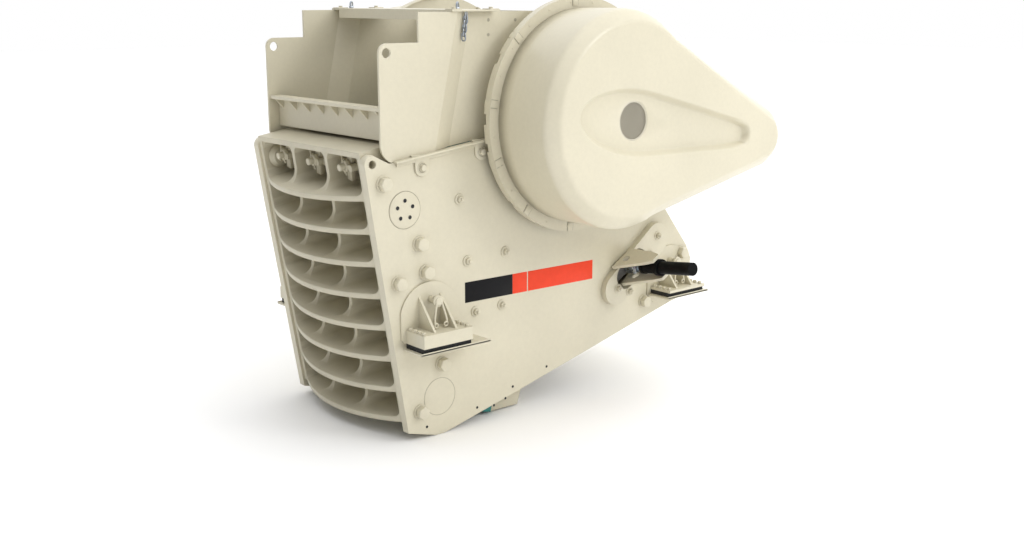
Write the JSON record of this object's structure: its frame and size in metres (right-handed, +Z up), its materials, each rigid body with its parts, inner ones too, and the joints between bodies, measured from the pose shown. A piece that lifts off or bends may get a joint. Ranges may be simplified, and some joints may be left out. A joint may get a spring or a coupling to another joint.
{
  "type": "jaw crusher",
  "caption": "Single-toggle jaw crusher with a ribbed front casting, feed hopper, enclosed flywheels, belt guard and wedge-adjusted swinging jaw on bracket feet.",
  "frame": {"origin": "centre of the four bracket feet's anchor holes, on the plane of the base plates' undersides", "axes": "+X from the ribbed feed-end casting towards the rear, +Z up, -Y the side with the belt guard"},
  "size_m": [3.4812, 2.8756, 2.9219],
  "materials": {
    "ivory_paint": "satin",
    "ivory_casting": "satin",
    "vent_mesh": "satin",
    "manganese_steel": "rough",
    "teal_die": "satin",
    "machined_steel": "satin",
    "grey_iron": "satin",
    "black_paint": "satin",
    "black_rubber": "matte"
  },
  "bodies": {
    "frame": {"adjusting_cylinder_left": "black_paint", "adjusting_cylinder_right": "black_paint", "base_plates": "ivory_paint", "bearing_housing_left": "ivory_paint", "bearing_housing_right": "ivory_paint", "cheek_plates_left": "manganese_steel", "cheek_plates_right": "manganese_steel", "cylinder_bracket_left": "ivory_paint", "cylinder_bracket_right": "ivory_paint", "eccentric_shaft": "machined_steel", "fixed_jaw_die": "manganese_steel", "flywheel_left": "grey_iron", "flywheel_right": "grey_iron", "foot_bracket_front_left": "ivory_paint", "foot_bracket_front_right": "ivory_paint", "foot_bracket_rear_left": "ivory_paint", "foot_bracket_rear_right": "ivory_paint", "front_frame": "ivory_casting", "guard_left": "ivory_paint", "guard_right": "ivory_paint", "guard_rim_left": "ivory_paint", "guard_rim_right": "ivory_paint", "hopper_deck": "ivory_paint", "hopper_lip": "ivory_paint", "hopper_rear_wall": "ivory_paint", "hopper_side_left": "ivory_paint", "hopper_side_right": "ivory_paint", "motor": "ivory_paint", "motor_mount": "ivory_paint", "rear_frame": "ivory_casting", "rubber_pads": "black_rubber", "side_plate_left": "ivory_paint", "side_plate_right": "ivory_paint", "tie_bolts": "ivory_paint", "vent_grille_left": "vent_mesh", "vent_grille_right": "vent_mesh"},
    "jaw": {"pitman": "ivory_casting", "moving_jaw_die": "teal_die"},
    "toggle": {"toggle_plate": "manganese_steel"},
    "rear_seat": {"toggle_seat": "ivory_casting"},
    "wedge_set_left": {"wedge_left": "machined_steel", "wedge_rod_left": "machined_steel"},
    "wedge_set_right": {"wedge_right": "machined_steel", "wedge_rod_right": "machined_steel"}
  },
  "joints": [
    {"name": "jaw_swing", "type": "hinge", "parent": "frame", "child": "jaw", "pos_m": [0.081, 0, 1.451], "axis": [0, 1, 0], "range_deg": [0, 2]},
    {"name": "toggle_swing", "type": "hinge", "parent": "jaw", "child": "toggle", "pos_m": [-0.242, 0, -0.312], "axis": [0, 1, 0], "range_deg": [0, 0.9826]},
    {"name": "seat_slide", "type": "slide", "parent": "frame", "child": "rear_seat", "axis": [-0.866, 0, -0.5], "range_m": [0, 0.04849]},
    {"name": "wedge_slide_left", "type": "slide", "parent": "frame", "child": "wedge_set_left", "axis": [0.0825, 0.9863, -0.1429], "range_m": [0, 0.13508]},
    {"name": "wedge_slide_right", "type": "slide", "parent": "frame", "child": "wedge_set_right", "axis": [0.0825, -0.9863, -0.1429], "range_m": [0, 0.13508]}
  ],
  "couplings": [
    {"joint": "toggle_swing", "follows": "jaw_swing", "ratio": 0.48168},
    {"joint": "seat_slide", "follows": "jaw_swing", "m_per_rad": 1.3754},
    {"joint": "wedge_slide_left", "follows": "jaw_swing", "m_per_rad": 3.8314},
    {"joint": "wedge_slide_right", "follows": "jaw_swing", "m_per_rad": 3.8314}
  ]
}
